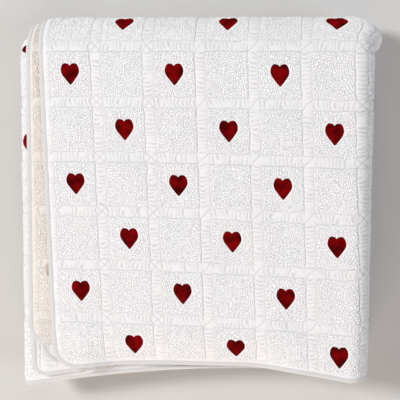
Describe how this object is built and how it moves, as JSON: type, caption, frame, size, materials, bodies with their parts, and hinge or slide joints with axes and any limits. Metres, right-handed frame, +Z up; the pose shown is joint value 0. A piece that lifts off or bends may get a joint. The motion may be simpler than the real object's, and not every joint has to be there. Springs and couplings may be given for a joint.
{
  "type": "folded bed quilt",
  "caption": "Folded white bed quilt with stippled blocks, ribbed sash strips, satin-stitched red hearts and a rounded edge binding; it lies flat with its open corners at the front left",
  "frame": {"origin": "centre of the box at the underside of the folded stack", "axes": "+Z up, +Y towards the thick back fold, +X towards the side fold, hems and open corners towards -Y and -X"},
  "size_m": [0.5334, 0.5638, 0.1152],
  "materials": {
    "quilted_cotton": "matte quilted cotton",
    "binding_cotton": "smooth matte cotton",
    "satin_thread": "satin stitch"
  },
  "bodies": {
    "root": {"quilt": "quilted_cotton", "binding": "binding_cotton", "heart_r0_c1": "satin_thread", "heart_r0_c3": "satin_thread", "heart_r0_c5": "satin_thread", "heart_r1_c0": "satin_thread", "heart_r1_c2": "satin_thread", "heart_r1_c4": "satin_thread", "heart_r2_c1": "satin_thread", "heart_r2_c3": "satin_thread", "heart_r2_c5": "satin_thread", "heart_r3_c0": "satin_thread", "heart_r3_c2": "satin_thread", "heart_r3_c4": "satin_thread", "heart_r4_c1": "satin_thread", "heart_r4_c3": "satin_thread", "heart_r4_c5": "satin_thread", "heart_r5_c0": "satin_thread", "heart_r5_c2": "satin_thread", "heart_r5_c4": "satin_thread", "heart_r6_c1": "satin_thread", "heart_r6_c3": "satin_thread", "heart_r6_c5": "satin_thread"}
  },
  "joints": []
}
